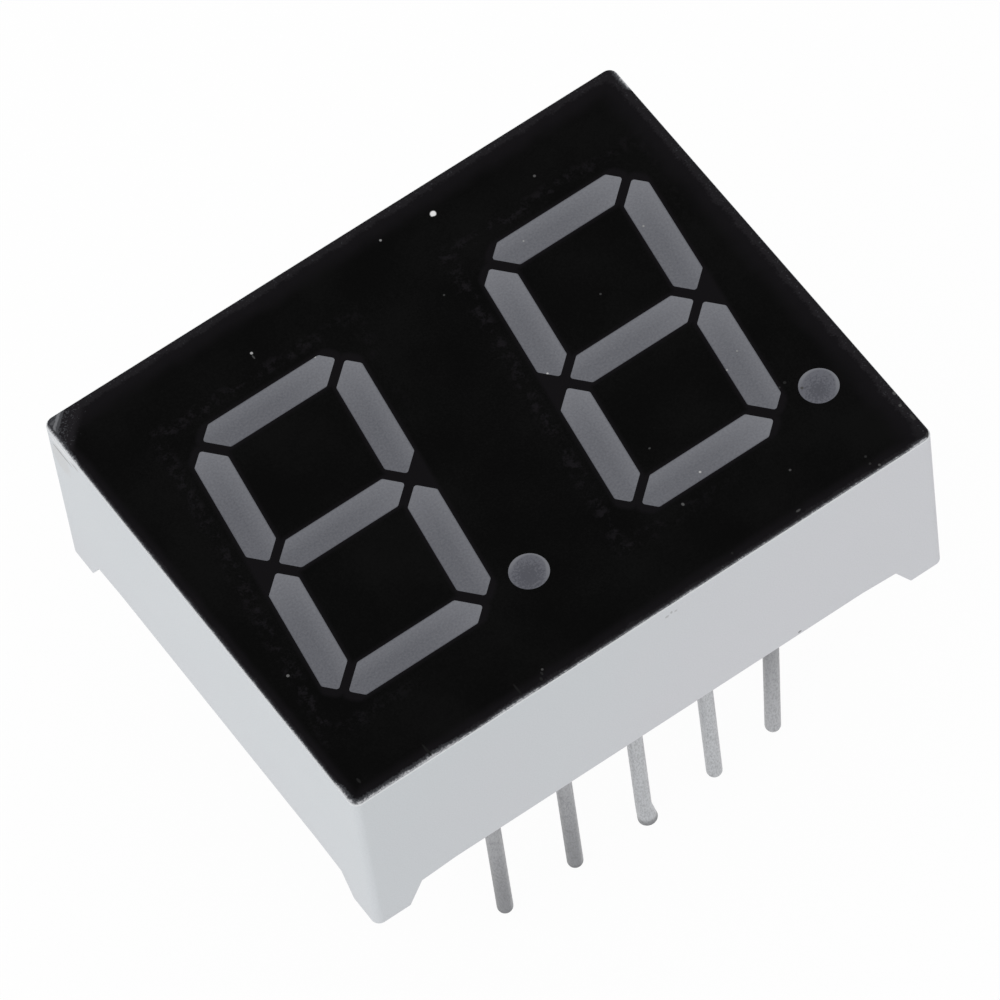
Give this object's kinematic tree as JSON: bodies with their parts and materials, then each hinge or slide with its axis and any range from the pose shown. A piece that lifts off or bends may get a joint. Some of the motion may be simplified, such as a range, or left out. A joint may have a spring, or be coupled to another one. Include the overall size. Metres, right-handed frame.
{
  "type": "seven segment display",
  "caption": "Block-shaped two-digit display with slanted segments and decimal points behind a black face, on corner feet over two rows of round pins.",
  "frame": {"origin": "middle of the pin pattern, on the plane that the four feet stand on", "axes": "+X along the two digits in reading direction, +Y up the digits, +Z out of the face"},
  "size_m": [0.0202, 0.0162, 0.014],
  "materials": {
    "housing": "fine moulded, pale grey",
    "ink": "black printed coat",
    "epoxy": "satin, tinted grey",
    "board": "laminate",
    "copper": "plated",
    "solder": "satin",
    "tinned_pin": "dull tin",
    "die": "crystal",
    "bond_wire": "bright"
  },
  "bodies": {
    "root": {"housing": "housing", "face_ink": "ink", "potting": "epoxy", "circuit_board": "board", "front_copper": "copper", "back_copper": "copper", "solder_joints": "solder", "pin_1": "tinned_pin", "pin_2": "tinned_pin", "pin_3": "tinned_pin", "pin_4": "tinned_pin", "pin_5": "tinned_pin", "pin_6": "tinned_pin", "pin_7": "tinned_pin", "pin_8": "tinned_pin", "pin_9": "tinned_pin", "pin_10": "tinned_pin", "left_die_a": "die", "left_die_b": "die", "left_die_c": "die", "left_die_d": "die", "left_die_e": "die", "left_die_f": "die", "left_die_g": "die", "left_die_dp": "die", "right_die_a": "die", "right_die_b": "die", "right_die_c": "die", "right_die_d": "die", "right_die_e": "die", "right_die_f": "die", "right_die_g": "die", "right_die_dp": "die", "left_wire_a": "bond_wire", "left_wire_b": "bond_wire", "left_wire_c": "bond_wire", "left_wire_d": "bond_wire", "left_wire_e": "bond_wire", "left_wire_f": "bond_wire", "left_wire_g": "bond_wire", "left_wire_dp": "bond_wire", "right_wire_a": "bond_wire", "right_wire_b": "bond_wire", "right_wire_c": "bond_wire", "right_wire_d": "bond_wire", "right_wire_e": "bond_wire", "right_wire_f": "bond_wire", "right_wire_g": "bond_wire", "right_wire_dp": "bond_wire"}
  },
  "joints": []
}
